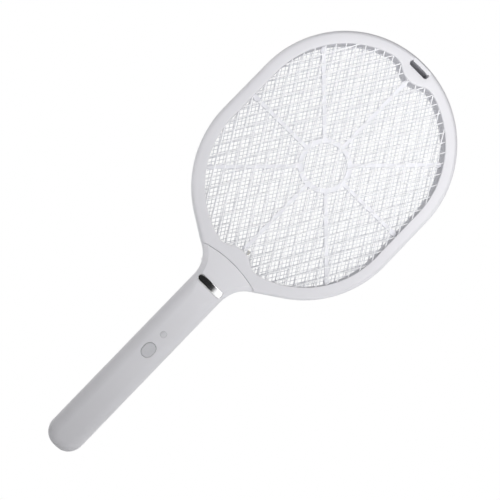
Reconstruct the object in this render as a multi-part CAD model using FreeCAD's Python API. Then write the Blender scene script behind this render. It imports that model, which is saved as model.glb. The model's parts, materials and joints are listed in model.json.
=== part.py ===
import FreeCAD, Part
import math
import os

# Electric fly swatter, in millimetres. +Z runs up the handle to the head, +X is to the
# right as seen from the front, and the front faces -Y. The origin is on the handle's
# axis, in the middle of the grip.

V = FreeCAD.Vector

# Head: a ring with two equal half circles and short straight sides
HEAD_R = 107.0
LOW_CENTRE_Z = 236.0
HIGH_CENTRE_Z = 293.5
BAND = 12.3                 # width of the ring, front view
HEAD_HALF = 11.0            # half the ring's thickness
PLATE = 2.2                 # thickness of the ring's front and rear plates
WALL = 2.2                  # wall of every moulding
RING_EDGE_R = 4.5           # rounding of the ring's outer edges

# Inward bumps of the ring, at the top and at the bottom
BUMP_REACH = 84.3           # bump's apex, from the centre of its half circle
BUMP_R = 22.0
BUMP_SIDE_R = 16.0

# Neck and handle
NECK_ANGLE = 57.0           # neck's straight sides, from the handle's axis
NECK_R = 28.4
NECK_FACE_HALF_W = 15.0     # flat face of the neck, beside the badge and at the seam
NECK_FACE_TOP_HALF_W = 31.0
HANDLE_HALF_W = 18.2
HANDLE_HALF_D = 15.5
HANDLE_EDGE_R = 11.0
HANDLE_TOP_Z = 106.0
BUTT_Z = -99.5
BUTT_CORNER_R = 16.0
BUTT_END_R = 42.0
SEAM_TOP_Z = 136.2          # seam between handle and ring, on the axis
SEAM_R = 114.0

# Hang slot
SLOT_Z = 392.5
SLOT_W = 23.0
SLOT_H = 6.4
SLOT_WALL = 1.8

# Badge, status window and push button, on the front
BADGE_Z = 106.6
BADGE_W = 29.6
BADGE_H = 7.4
BADGE_T = 1.6
BADGE_DEPTH = 1.1           # of the badge's seat
LENS_Z = 44.4
LENS_R = 3.2
LENS_PROUD = 0.1
BUTTON_Z = 24.6
BUTTON_W = 11.4
BUTTON_H = 15.0
BUTTON_PROUD = 0.9
BUTTON_TRAVEL = 1.2
GAP = 0.25                  # clearance round every piece that moves

# Power switch, on the rear
KNOB_Z = 60.0
KNOB_W = 7.0
KNOB_H = 9.0
KNOB_TRAVEL = 4.0
KNOB_PROUD = 1.6

# Grilles and high-voltage grid
GRILLE_T = 1.2
GRILLE_WIRE = 1.1
DIAMOND_W = 10.7            # across the head
DIAMOND_H = 18.5            # along the head
GRILLE_RIM = 2.7            # how far the grilles reach under the ring's plates
SPACER_T = 2.5
GRID_WIRE = 0.6
GRID_PITCH = 3.5
GRID_ANGLE = 33.5           # of the grid's wires to the handle's axis
GRID_MARGIN = 0.4           # from the spacer ring to the grid's edge
SPOKES = 8
SPOKE_W = 3.6
SPOKE_T = 2.0
SPOKE_POST_R = 2.8
HUB_R = 26.0
HUB_W = 4.6
SPIDER_Z = (LOW_CENTRE_Z + HIGH_CENTRE_Z) / 2

# Battery: one cell in a cradle, in the lower half of the handle
CELL_R = 9.2
CELL_L = 65.0
CELL_BOTTOM_Z = -79.0
CELL_TOP_Z = CELL_BOTTOM_Z + CELL_L
CELL_Y = 1.5
CELL_TIP_R = 3.2
CELL_TIP_H = 0.8
CONTACT_W = 8.0
CONTACT_H = 10.0
CONTACT_T = 0.5
CRADLE_HALF_W = 11.2
CRADLE_D = 10.6
CRADLE_WALL = 1.2
CRADLE_EDGE_R = 4.0

# Charging socket, in the butt
SOCKET_W = 9.0
SOCKET_H = 3.2
SOCKET_L = 7.4
SOCKET_SKIN = 0.3
TONGUE_W = 6.8
TONGUE_T = 0.7
TONGUE_L = 6.0

# Circuit board and what stands on its front
BOARD_Z = (1.0, 97.0)
BOARD_HALF_W = 13.6
BOARD_FRONT_Y = -1.0
BOARD_REAR_Y = 0.6
BOARD_CORNER_R = 2.0
CORE_Z = 73.0
CORE_W = 14.0
CORE_H = 9.0
CORE_WINDOW_X = 4.2
CORE_WINDOW_W = 3.2
CORE_WINDOW_L = 9.0
WINDING_W = 11.2
WINDING_L = 8.6
WINDING_H = 8.4
WINDING_BORE_W = 5.2
STORAGE_Z = 87.5
STORAGE_W = 13.0
STORAGE_L = 6.0
STORAGE_H = 8.6
DISC_R = 3.2
DISC_T = 2.6
DISC_X = 9.0
DISC_Z = 53.5
DIODE_R = 1.3
DIODE_L = 4.2
DIODE_X = 11.0
DIODE_ROWS = (68.0, 79.0)
RESISTOR_R = 1.1
RESISTOR_L = 3.6
RESISTOR_COLUMNS = (-10.0, -7.0, 7.0, 10.0)
RESISTOR_Z = 36.0
COMPONENT_LEAD = 1.9        # wire at each end of a diode or a resistor
TRANSISTOR_X = 9.0
TRANSISTOR_Z = 14.0
TRANSISTOR_R = 2.3
TRANSISTOR_H = 5.0
CHIP_X = -9.0
CHIP_Z = 10.5
CHIP_W = 5.0
CHIP_H = 1.6
CHIP_PIN_PITCH = 1.15
LED_BASE_R = 2.4
LED_DOME_R = 1.5
LED_TOP_Y = -4.8
TACT_W = 6.0
TACT_H = 3.4
PLUNGER_R = 1.72
PLUNGER_TOP_Y = -7.3
SLIDER_W = 8.0
SLIDER_D = 5.4

# Screws: x, z of each
HANDLE_SCREWS = [(0.0, -86.0), (0.0, -4.5), (-19.5, 121.5), (19.5, 121.5)]
FRAME_SCREW_R = 101.0
FRAME_SCREW_ANGLES = [38.0, 90.0, 128.0]    # from the top, on each side
BOSS_R = 3.5
SCREW_R = 1.3
SCREW_HEAD_R = 2.5
SCREW_HEAD_H = 1.8
LEAD_R = 0.75
GRID_LEAD_X = 5.2
GRID_LEAD_Y = 1.4           # behind the grid
TERMINAL_LOW_Z = LOW_CENTRE_Z - BUMP_REACH + 1.0

FRONT = -1
REAR = 1


def point(x, z, y=0.0):
    return V(x, y, z)


def arc_about(centre, radius, start, end):
    """Three points of an arc in the XZ plane, angles in degrees from +X towards +Z."""
    return [V(centre.x + radius * math.cos(math.radians(angle)), 0,
              centre.z + radius * math.sin(math.radians(angle)))
            for angle in (start, (start + end) / 2, end)]


def edge_through(points):
    """Straight edge through two points, or an arc through three."""
    if len(points) == 2:
        return Part.LineSegment(*points).toShape()
    return Part.Arc(*points).toShape()


def closed_face(strokes):
    return Part.Face(Part.Wire([edge_through(stroke) for stroke in strokes]))


def symmetric_face(right_half):
    """Face from its right half's strokes, which run from the axis back to the axis."""
    left_half = [[point(-place.x, place.z) for place in reversed(stroke)]
                 for stroke in reversed(right_half)]
    return closed_face(right_half + left_half)


def slab(face, y_low, y_high):
    """A face in the XZ plane made into a solid between two Y values."""
    moved = face.copy()
    moved.translate(V(0, y_low, 0))
    return moved.extrude(V(0, y_high - y_low, 0))


def between(face, side, near, far):
    """The same, at distances from the middle plane on the front or the rear side."""
    low, high = sorted((side * near, side * far))
    return slab(face, low, high)


def box(x0, x1, y0, y1, z0, z1):
    return Part.makeBox(x1 - x0, y1 - y0, z1 - z0, V(x0, y0, z0))


def rod(radius, start, end):
    along = end - start
    return Part.makeCylinder(radius, along.Length, start, along)


def butt_strokes(inset):
    """Right half of the butt's outline, from the axis to the handle's side."""
    half = HANDLE_HALF_W - inset
    corner_r = BUTT_CORNER_R - inset
    end_r = BUTT_END_R - inset
    end_centre = point(0, BUTT_Z + BUTT_END_R)
    corner_x = half - corner_r
    drop = math.sqrt((end_r - corner_r) ** 2 - corner_x ** 2)
    corner = point(corner_x, end_centre.z - drop)
    touch_angle = math.degrees(math.atan2(-drop, corner_x))
    return [arc_about(end_centre, end_r, -90, touch_angle),
            arc_about(corner, corner_r, touch_angle, 0)], corner.z


def neck_points(inset):
    """Fillet centre, and the ends of the neck's straight side."""
    angle = math.radians(NECK_ANGLE)
    outward = V(math.cos(angle), 0, -math.sin(angle))
    low_centre = point(0, LOW_CENTRE_Z)
    centre_x = HANDLE_HALF_W + NECK_R
    reach = outward.z * LOW_CENTRE_Z + HEAD_R + NECK_R
    centre = point(centre_x, (reach - outward.x * centre_x) / outward.z)
    neck_low = centre - outward * (NECK_R + inset)
    neck_high = low_centre + outward * (HEAD_R - inset)
    return centre, neck_low, neck_high


def outline(inset):
    """Front view of the whole swatter, moved inwards by inset."""
    half = HANDLE_HALF_W - inset
    radius = HEAD_R - inset
    butt, side_z = butt_strokes(inset)
    fillet, neck_low, neck_high = neck_points(inset)
    return symmetric_face(butt + [
        [point(half, side_z), point(half, fillet.z)],
        arc_about(fillet, NECK_R + inset, 180, 180 - NECK_ANGLE),
        [neck_low, neck_high],
        arc_about(point(0, LOW_CENTRE_Z), radius, -NECK_ANGLE, 0),
        [point(radius, LOW_CENTRE_Z), point(radius, HIGH_CENTRE_Z)],
        arc_about(point(0, HIGH_CENTRE_Z), radius, 0, 90)])


def bump_strokes(outset):
    """Quarter of the head's opening, from its side to the bump's apex, about (0, 0)."""
    radius = HEAD_R - BAND + outset
    side_r = BUMP_SIDE_R + outset
    bump_r = BUMP_R - outset
    bump_z = BUMP_REACH + BUMP_R
    side_reach = radius - side_r
    side_z = (side_reach ** 2 - (bump_r + side_r) ** 2 + bump_z ** 2) / (2 * bump_z)
    side_x = math.sqrt(side_reach ** 2 - side_z ** 2)
    leave_angle = math.degrees(math.atan2(side_z, side_x))
    meet_angle = math.degrees(math.atan2(bump_z - side_z, -side_x))
    return [arc_about(point(0, 0), radius, 0, leave_angle),
            arc_about(point(side_x, side_z), side_r, leave_angle, meet_angle),
            arc_about(point(0, bump_z), bump_r, meet_angle - 180, -90)]


def opening(outset):
    """Front view of the head's opening, moved outwards by outset."""
    radius = HEAD_R - BAND + outset
    quarter = bump_strokes(outset)
    top = [[point(place.x, HIGH_CENTRE_Z + place.z) for place in stroke]
           for stroke in quarter]
    bottom = [[point(place.x, LOW_CENTRE_Z - place.z) for place in reversed(stroke)]
              for stroke in reversed(quarter)]
    side = [point(radius, LOW_CENTRE_Z), point(radius, HIGH_CENTRE_Z)]
    return symmetric_face(bottom + [side] + top)


def pill(width, height, z):
    """Front view of a slot with round ends, longer side level or upright."""
    radius = min(width, height) / 2
    run_x = width / 2 - radius
    run_z = height / 2 - radius
    if run_z > run_x:
        return symmetric_face([
            arc_about(point(0, z - run_z), radius, -90, 0),
            [point(radius, z - run_z), point(radius, z + run_z)],
            arc_about(point(0, z + run_z), radius, 0, 90)])
    return symmetric_face([
        [point(0, z - radius), point(run_x, z - radius)],
        arc_about(point(run_x, z), radius, -90, 90),
        [point(run_x, z + radius), point(0, z + radius)]])


def below_seam():
    """Front view of everything on the handle's side of the curved seam."""
    reach = 90.0
    centre_z = SEAM_TOP_Z - SEAM_R
    edge_z = centre_z + math.sqrt(SEAM_R ** 2 - reach ** 2)
    floor_z = BUTT_Z - 10
    return closed_face([
        [point(-reach, edge_z), point(0, SEAM_TOP_Z), point(reach, edge_z)],
        [point(reach, edge_z), point(reach, floor_z)],
        [point(reach, floor_z), point(-reach, floor_z)],
        [point(-reach, floor_z), point(-reach, edge_z)]])


def at_depth(edge, depth):
    """True for an edge that lies wholly at one distance from the middle plane."""
    limits = edge.BoundBox
    return abs(limits.YMin - depth) < 0.01 and abs(limits.YMax - depth) < 0.01


def rounded(solid, side, depth, radius):
    """Round the outer edges of a slab's front or rear face."""
    edges = [edge for edge in solid.Edges if at_depth(edge, side * depth)]
    return solid.makeFillet(radius, edges)


def flat_body(side, inset, radius):
    """Ring and neck: half of a flat body of the whole outline."""
    depth = HEAD_HALF - inset
    return rounded(between(outline(inset), side, 0, depth), side, depth, radius)


def handle_body(side, inset, radius):
    """The thicker handle, below the badge."""
    depth = HANDLE_HALF_D - inset
    top = box(-200, 200, -50, 50, HANDLE_TOP_Z - inset, 500)
    whole = rounded(between(outline(inset), side, 0, depth), side, depth, radius)
    return whole.cut(top)


def neck_wedge(side, inset):
    """Flat fan-shaped face that slopes from the handle down to the seam."""
    low_half = NECK_FACE_HALF_W - inset
    high_half = NECK_FACE_TOP_HALF_W - inset
    low_z = HANDLE_TOP_Z - 8
    high_z = SEAM_TOP_Z - 4.4
    profile = [V(0, side * (HEAD_HALF - WALL - 2), low_z),
               V(0, side * (HANDLE_HALF_D - inset), low_z),
               V(0, side * (HANDLE_HALF_D - inset), HANDLE_TOP_Z),
               V(0, side * (HEAD_HALF - inset), SEAM_TOP_Z),
               V(0, side * (HEAD_HALF - WALL - 2), SEAM_TOP_Z)]
    prism = Part.Face(Part.makePolygon(profile + profile[:1])).extrude(V(70, 0, 0))
    prism.translate(V(-35, 0, 0))
    fan = [point(-low_half, low_z), point(low_half, low_z), point(low_half, HANDLE_TOP_Z),
           point(high_half, high_z), point(high_half, SEAM_TOP_Z),
           point(-high_half, SEAM_TOP_Z), point(-high_half, high_z),
           point(-low_half, HANDLE_TOP_Z)]
    plan = slab(Part.Face(Part.makePolygon(fan + fan[:1])), -50, 50)
    return prism.common(plan)


def boss(x, z, side, depth):
    return rod(BOSS_R, V(x, 0, z), V(x, side * depth, z))


def handle_depth(z):
    return (HANDLE_HALF_D if z < HANDLE_TOP_Z else HEAD_HALF) - WALL


def handle_shell(side):
    outer = flat_body(side, 0, RING_EDGE_R).fuse([handle_body(side, 0, HANDLE_EDGE_R),
                                                   neck_wedge(side, 0)])
    hollow = flat_body(side, WALL, RING_EDGE_R - WALL).fuse(
        handle_body(side, WALL, HANDLE_EDGE_R - WALL))
    shell = outer.cut(hollow)
    bosses = [boss(x, z, side, handle_depth(z) + 0.5) for x, z in HANDLE_SCREWS]
    shell = shell.fuse(bosses).common(slab(below_seam(), -50, 50))
    return shell.cut([socket_cut()])


def socket_cut():
    """Mouth of the charging socket, through the butt."""
    mouth = pill(SOCKET_W + 0.2, SOCKET_H + 0.2, 0)
    prism = mouth.extrude(V(0, 20, 0))
    prism.rotate(V(0, 0, 0), V(1, 0, 0), 90)
    prism.translate(V(0, 0, BUTT_Z - 5))
    return prism


def handle_front_shell():
    shell = handle_shell(FRONT)
    badge_seat = slab(pill(BADGE_W + 0.1, BADGE_H + 0.1, BADGE_Z), -20,
                      -HANDLE_HALF_D + BADGE_DEPTH)
    lens_hole = rod(LENS_R, V(0, -20, LENS_Z), V(0, -5, LENS_Z))
    button_hole = slab(pill(BUTTON_W + 2 * GAP, BUTTON_H + 2 * GAP, BUTTON_Z), -20, -5)
    pilots = [rod(SCREW_R, V(x, 0, z), V(x, -7.5, z)) for x, z in HANDLE_SCREWS]
    return shell.cut([badge_seat, lens_hole, button_hole] + pilots)


def handle_rear_shell():
    shell = handle_shell(REAR)
    slot = box(-KNOB_W / 2 - GAP, KNOB_W / 2 + GAP, 5, 25,
               KNOB_Z - KNOB_H / 2 - GAP, KNOB_Z + KNOB_H / 2 + KNOB_TRAVEL + GAP)
    holes = [screw_hole(x, z, handle_depth(z)) for x, z in HANDLE_SCREWS]
    return shell.cut([slot] + holes)


def screw_seat(depth):
    """Distance from the middle plane to the underside of a screw's head."""
    return depth - 3.6


def screw_hole(x, z, depth):
    seat = screw_seat(depth)
    through = rod(SCREW_R + 0.15, V(x, -1, z), V(x, seat, z))
    return through.fuse(rod(SCREW_HEAD_R + 0.2, V(x, seat, z), V(x, 30, z)))


def screw(x, z, depth):
    """Self-tapping screw with a cross recess, driven from the rear."""
    seat = screw_seat(depth)
    shank = rod(SCREW_R, V(x, -7.0 if depth > HEAD_HALF else -5.5, z), V(x, seat, z))
    head = rod(SCREW_HEAD_R, V(x, seat, z), V(x, seat + SCREW_HEAD_H, z))
    top = seat + SCREW_HEAD_H
    head = head.makeFillet(0.6, [edge for edge in head.Edges if at_depth(edge, top)])
    cross = [box(x - 1.5, x + 1.5, top - 0.9, top + 1, z - 0.3, z + 0.3),
             box(x - 0.3, x + 0.3, top - 0.9, top + 1, z - 1.5, z + 1.5)]
    return head.fuse(shank).cut(cross)


def frame_screw_places():
    places = []
    for angle in FRAME_SCREW_ANGLES:
        x = FRAME_SCREW_R * math.sin(math.radians(angle))
        rise = FRAME_SCREW_R * math.cos(math.radians(angle))
        if angle == 90:
            z = SPIDER_Z
        else:
            z = (HIGH_CENTRE_Z if angle < 90 else LOW_CENTRE_Z) + rise
        places += [(x, z), (-x, z)]
    return places


def head_frame(side):
    """Half of the ring: a plate, an outer wall, screw bosses and the hang slot's wall."""
    outer = flat_body(side, 0, RING_EDGE_R)
    hollow = flat_body(side, PLATE, RING_EDGE_R - PLATE)
    shell = outer.cut([hollow, slab(opening(0), -50, 50)])
    depth = HEAD_HALF - PLATE + 0.5
    inner = [rod(BOSS_R, V(x, 0, z), V(x, side * depth, z))
             for x, z in frame_screw_places()]
    slot_wall = pill(SLOT_W + 2 * SLOT_WALL, SLOT_H + 2 * SLOT_WALL, SLOT_Z)
    inner.append(between(slot_wall, side, 0, depth))
    shell = shell.fuse(inner).cut([slab(below_seam(), -50, 50),
                                   slab(pill(SLOT_W, SLOT_H, SLOT_Z), -50, 50)])
    return shell


def head_frame_front():
    pilots = [rod(SCREW_R, V(x, 0, z), V(x, -6.0, z)) for x, z in frame_screw_places()]
    return head_frame(FRONT).cut(pilots)


def head_frame_rear():
    holes = [screw_hole(x, z, HEAD_HALF - PLATE) for x, z in frame_screw_places()]
    return head_frame(REAR).cut(holes)


def grille_layer():
    """Distances of the grilles' two faces from the middle plane."""
    outer = HEAD_HALF - PLATE
    return outer - GRILLE_T, outer


def in_opening(x, z, margin):
    """True where a point lies inside the head's opening by at least margin."""
    centre_z = HIGH_CENTRE_Z if z > SPIDER_Z else LOW_CENTRE_Z
    beyond = z - centre_z if z > SPIDER_Z else centre_z - z
    reach = math.hypot(x, beyond) if beyond > 0 else abs(x)
    clear_of_bump = math.hypot(x, beyond - BUMP_REACH - BUMP_R) > BUMP_R + margin
    in_bump_zone = beyond > BUMP_REACH - BUMP_R and abs(x) < BUMP_R + BUMP_SIDE_R
    side_limit = BUMP_REACH if in_bump_zone else HEAD_R
    return (reach < HEAD_R - BAND - margin and clear_of_bump
            and (beyond < side_limit - margin or not in_bump_zone))


def diamond(x, z):
    """One hole of a grille: a diamond less half a wire on every side."""
    slope = math.atan2(DIAMOND_W, DIAMOND_H)
    half_w = DIAMOND_W / 2 - GRILLE_WIRE / 2 / math.cos(slope)
    half_h = DIAMOND_H / 2 - GRILLE_WIRE / 2 / math.sin(slope)
    corners = [point(x, z - half_h), point(x + half_w, z), point(x, z + half_h),
               point(x - half_w, z)]
    return corners


def grille_holes():
    """Every hole of a grille, those at the edge cut off along the opening."""
    window = opening(0)
    holes = []
    columns = int(HEAD_R / DIAMOND_W * 2) + 2
    rows = int((HIGH_CENTRE_Z - LOW_CENTRE_Z + 2 * HEAD_R) / DIAMOND_H) + 2
    for column in range(-columns, columns + 1):
        for row in range(-rows, rows + 1):
            if (column + row) % 2:
                continue
            x = column * DIAMOND_W / 2
            z = SPIDER_Z + row * DIAMOND_H / 2
            corners = diamond(x, z)
            inside = [in_opening(corner.x, corner.z, 0.3) for corner in corners]
            hole = Part.Face(Part.makePolygon(corners + corners[:1]))
            if all(inside):
                holes.append(hole.OuterWire)
            elif any(inside):
                for face in hole.common(window).Faces:
                    if face.Area > 4:
                        holes.append(face.OuterWire)
    return holes


def grille(side, holes):
    rim = opening(GRILLE_RIM)
    lattice = Part.makeFace([rim.OuterWire] + holes, "Part::FaceMakerBullseye")
    near, far = grille_layer()
    return between(lattice, side, near, far)


def spacer_ring():
    near, _ = grille_layer()
    ring = opening(SPACER_T).cut(opening(0))
    solid = slab(ring, -near, near)
    pass_z = LOW_CENTRE_Z - BUMP_REACH
    return solid.cut(rod(LEAD_R + GAP, V(GRID_LEAD_X, GRID_LEAD_Y, pass_z - 8),
                         V(GRID_LEAD_X, GRID_LEAD_Y, pass_z + 3)))


def grid_wires():
    """High-voltage grid: two layers of straight wires that touch where they cross."""
    window = opening(-GRID_MARGIN)
    wires = []
    reach = 2 * HEAD_R
    count = int(reach / GRID_PITCH)
    for layer, angle in ((FRONT, 90 - GRID_ANGLE), (REAR, GRID_ANGLE - 90)):
        for step in range(-count, count + 1):
            low_z = (step + 0.5) * GRID_PITCH - GRID_WIRE / 2
            strip = Part.Face(Part.makePolygon([
                point(-reach, low_z), point(reach, low_z), point(reach, low_z + GRID_WIRE),
                point(-reach, low_z + GRID_WIRE), point(-reach, low_z)]))
            strip.rotate(V(0, 0, 0), V(0, 1, 0), angle)
            strip.translate(point(0, SPIDER_Z))
            for face in strip.common(window).Faces:
                if face.Area > 3 * GRID_WIRE:
                    wires.append(between(face, layer, 0, GRID_WIRE))
    return Part.makeCompound(wires)


def spoke_end(angle):
    """Length of a spoke from the hub's centre to the spacer ring's inside."""
    across = math.sin(math.radians(angle))
    along = abs(math.cos(math.radians(angle)))
    inner_r = HEAD_R - BAND
    offset = (HIGH_CENTRE_Z - LOW_CENTRE_Z) / 2
    if abs(across) < 0.01:
        return offset + BUMP_REACH
    reach = offset * along + math.sqrt(inner_r ** 2 - (offset * across) ** 2)
    straight = inner_r / abs(across)
    return straight if straight * along < offset else reach


def spider(side):
    """Star of thin spokes round a hub, which holds the grid off the grille."""
    near = GRID_WIRE
    far = near + SPOKE_T
    hub, hole = [Part.Face(Part.Wire(Part.makeCircle(radius, point(0, SPIDER_Z), V(0, 1, 0))))
                 for radius in (HUB_R, HUB_R - HUB_W)]
    low, high = sorted((side * near, side * far))
    spokes = []
    for index in range(SPOKES):
        angle = index * 360 / SPOKES
        length = spoke_end(angle) + 0.5
        post_z = length - SPOKE_POST_R - 1.4
        spoke = box(-SPOKE_W / 2, SPOKE_W / 2, low, high, HUB_R - HUB_W / 2, length)
        spoke = spoke.fuse(rod(SPOKE_POST_R, V(0, low, post_z), V(0, high, post_z)))
        spoke.rotate(V(0, 0, 0), V(0, 1, 0), angle)
        spoke.translate(point(0, SPIDER_Z))
        spokes.append(spoke)
    star = between(hub.cut(hole), side, near, far).fuse(spokes)
    return star.common(slab(opening(0), -50, 50)).removeSplitter()


def badge_plate():
    back = -HANDLE_HALF_D + BADGE_DEPTH
    plate = slab(pill(BADGE_W, BADGE_H, BADGE_Z), back - BADGE_T, back)
    return plate.makeFillet(0.5, [edge for edge in plate.Edges
                                  if at_depth(edge, back - BADGE_T)])


def status_lens():
    top = -HANDLE_HALF_D - LENS_PROUD
    inner_y = -HANDLE_HALF_D + WALL
    cap = rod(LENS_R - 0.05, V(0, top, LENS_Z), V(0, inner_y, LENS_Z))
    cap = cap.makeFillet(0.3, [edge for edge in cap.Edges if at_depth(edge, top)])
    light_guide = rod(LED_DOME_R + 0.1, V(0, inner_y, LENS_Z), V(0, LED_TOP_Y - 0.4, LENS_Z))
    return cap.fuse(light_guide)


def push_button():
    """Cap with a flange behind the shell and a stem down to the switch."""
    top = -HANDLE_HALF_D - BUTTON_PROUD
    flange_y = -HANDLE_HALF_D + WALL + GAP
    cap = slab(pill(BUTTON_W, BUTTON_H, BUTTON_Z), top, flange_y)
    cap = cap.makeFillet(0.7, [edge for edge in cap.Edges if at_depth(edge, top)])
    flange = slab(pill(BUTTON_W + 3, BUTTON_H + 3, BUTTON_Z), flange_y, flange_y + 1.4)
    stem = rod(2.2, V(0, flange_y + 1.4, BUTTON_Z), V(0, PLUNGER_TOP_Y, BUTTON_Z))
    return cap.fuse([flange, stem])


def on_board(x, z, width, length, height):
    """Block that stands on the board's front, centred at x, z."""
    return box(x - width / 2, x + width / 2, BOARD_FRONT_Y - height, BOARD_FRONT_Y,
               z - length / 2, z + length / 2)


def rod_on_board(x, z, radius, height):
    return rod(radius, V(x, BOARD_FRONT_Y - height, z), V(x, BOARD_FRONT_Y, z))


def tact_switch_body():
    well = rod(PLUNGER_R + 0.08, V(0, -10, BUTTON_Z), V(0, -2.2, BUTTON_Z))
    return on_board(0, BUTTON_Z, TACT_W, TACT_W, TACT_H).cut(well)


def switch_plunger():
    return rod(PLUNGER_R, V(0, PLUNGER_TOP_Y, BUTTON_Z), V(0, -3.6, BUTTON_Z))


def slide_switch_body():
    track_half_l = 3.4
    body = box(-SLIDER_W / 2, SLIDER_W / 2, BOARD_REAR_Y, BOARD_REAR_Y + SLIDER_D,
               KNOB_Z - 7, KNOB_Z + 7 + KNOB_TRAVEL)
    return body.cut(box(-2.2, 2.2, 3.0, 7.0, KNOB_Z - track_half_l,
                        KNOB_Z + track_half_l + KNOB_TRAVEL))


def slide_switch_knob():
    """Ribbed thumb pad, a skirt inside the shell and a tongue into the switch."""
    top = HANDLE_HALF_D + KNOB_PROUD
    skirt_y = HANDLE_HALF_D - WALL - GAP
    pad = box(-KNOB_W / 2, KNOB_W / 2, skirt_y, top, KNOB_Z - KNOB_H / 2, KNOB_Z + KNOB_H / 2)
    grooves = [box(-KNOB_W, KNOB_W, top - 0.6, top + 1, KNOB_Z + step * 1.8 - 0.4,
                   KNOB_Z + step * 1.8 + 0.4) for step in (-2, -1, 0, 1, 2)]
    skirt = box(-KNOB_W / 2 - 2, KNOB_W / 2 + 2, skirt_y - 1.2, skirt_y,
                KNOB_Z - KNOB_H / 2 - 5, KNOB_Z + KNOB_H / 2 + 5)
    tongue = box(-1.9, 1.9, 3.3, skirt_y - 1.2, KNOB_Z - 3, KNOB_Z + 3)
    return pad.cut(grooves).fuse([skirt, tongue])


def circuit_board():
    board = box(-BOARD_HALF_W, BOARD_HALF_W, BOARD_FRONT_Y, BOARD_REAR_Y, *BOARD_Z)
    thickness = BOARD_REAR_Y - BOARD_FRONT_Y
    return board.makeFillet(BOARD_CORNER_R, [
        edge for edge in board.Edges if abs(edge.BoundBox.YLength - thickness) < 0.01])


def transformer_winding():
    bobbin = on_board(0, CORE_Z, WINDING_W, WINDING_L, WINDING_H)
    return bobbin.cut(on_board(0, CORE_Z, WINDING_BORE_W, CORE_W, CORE_H + 1))


def transformer_core():
    """Two-window ferrite core on the board's front, less the room of its winding."""
    core = on_board(0, CORE_Z, CORE_W, CORE_W, CORE_H)
    windows = [on_board(x, CORE_Z, CORE_WINDOW_W, CORE_WINDOW_L, CORE_H + 1)
               for x in (-CORE_WINDOW_X, CORE_WINDOW_X)]
    return core.cut(windows).cut(transformer_winding())


def storage_capacitor():
    body = on_board(0, STORAGE_Z, STORAGE_W, STORAGE_L, STORAGE_H)
    top_y = BOARD_FRONT_Y - STORAGE_H
    return body.makeFillet(1.4, [edge for edge in body.Edges
                                 if at_depth(edge, top_y)
                                 or abs(edge.BoundBox.YLength - STORAGE_H) < 0.01])


def multiplier_capacitors():
    return Part.makeCompound([rod_on_board(x, DISC_Z, DISC_R, DISC_T)
                              for x in (-DISC_X, DISC_X)])


def axial_part(x, z, radius, length):
    """Small round component with a lead at each end, lying on the board."""
    y = BOARD_FRONT_Y - radius
    wire = length / 2 + COMPONENT_LEAD
    body = rod(radius, V(x, y, z - length / 2), V(x, y, z + length / 2))
    return body.fuse(rod(0.3, V(x, y, z - wire), V(x, y, z + wire)))


def rectifier_diodes():
    return Part.makeCompound([axial_part(x, z, DIODE_R, DIODE_L)
                              for x in (-DIODE_X, DIODE_X) for z in DIODE_ROWS])


def resistors():
    return Part.makeCompound([axial_part(x, RESISTOR_Z, RESISTOR_R, RESISTOR_L)
                              for x in RESISTOR_COLUMNS])


def drive_transistor():
    """Round body with one flat side."""
    body = rod_on_board(TRANSISTOR_X, TRANSISTOR_Z, TRANSISTOR_R, TRANSISTOR_H)
    return body.cut(on_board(TRANSISTOR_X, TRANSISTOR_Z + 2.4, 8, 2, TRANSISTOR_H + 1))


def status_led():
    base = rod_on_board(0, LENS_Z, LED_BASE_R, 0.6)
    dome = rod(LED_DOME_R, V(0, LED_TOP_Y, LENS_Z), V(0, BOARD_FRONT_Y, LENS_Z))
    dome = dome.makeFillet(0.9, [edge for edge in dome.Edges if at_depth(edge, LED_TOP_Y)])
    return base.fuse(dome)


def charge_controller_chip():
    body = on_board(CHIP_X, CHIP_Z, CHIP_W, CHIP_W, CHIP_H)
    pin_x = CHIP_W / 2 + 0.7
    pins = [on_board(CHIP_X + side * pin_x, CHIP_Z + row * CHIP_PIN_PITCH, 1.4, 0.4, 0.5)
            for side in (-1, 1) for row in (-1.5, -0.5, 0.5, 1.5)]
    return body.fuse(pins)


def charge_socket():
    """Metal shell of the socket, just inside the butt."""
    outer = pill(SOCKET_W, SOCKET_H, 0)
    inner = pill(SOCKET_W - 2 * SOCKET_SKIN, SOCKET_H - 2 * SOCKET_SKIN, 0)
    shell = outer.extrude(V(0, SOCKET_L, 0)).cut(inner.extrude(V(0, SOCKET_L - 0.6, 0)))
    shell.rotate(V(0, 0, 0), V(1, 0, 0), 90)
    shell.translate(V(0, 0, BUTT_Z + 0.6))
    return shell


def charge_socket_tongue():
    top = BUTT_Z + SOCKET_L
    return box(-TONGUE_W / 2, TONGUE_W / 2, -TONGUE_T / 2, TONGUE_T / 2, top - TONGUE_L, top)


def socket_board():
    low = BUTT_Z + SOCKET_L + 0.6
    return box(-10.5, 10.5, -4.5, 4.5, low, low + 1.2)


def battery_cell():
    cell = rod(CELL_R, V(0, CELL_Y, CELL_BOTTOM_Z), V(0, CELL_Y, CELL_TOP_Z))
    cell = cell.makeFillet(0.8, [edge for edge in cell.Edges if edge.BoundBox.ZLength < 0.01])
    return cell.fuse(rod(CELL_TIP_R, V(0, CELL_Y, CELL_TOP_Z),
                         V(0, CELL_Y, CELL_TOP_Z + CELL_TIP_H)))


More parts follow.
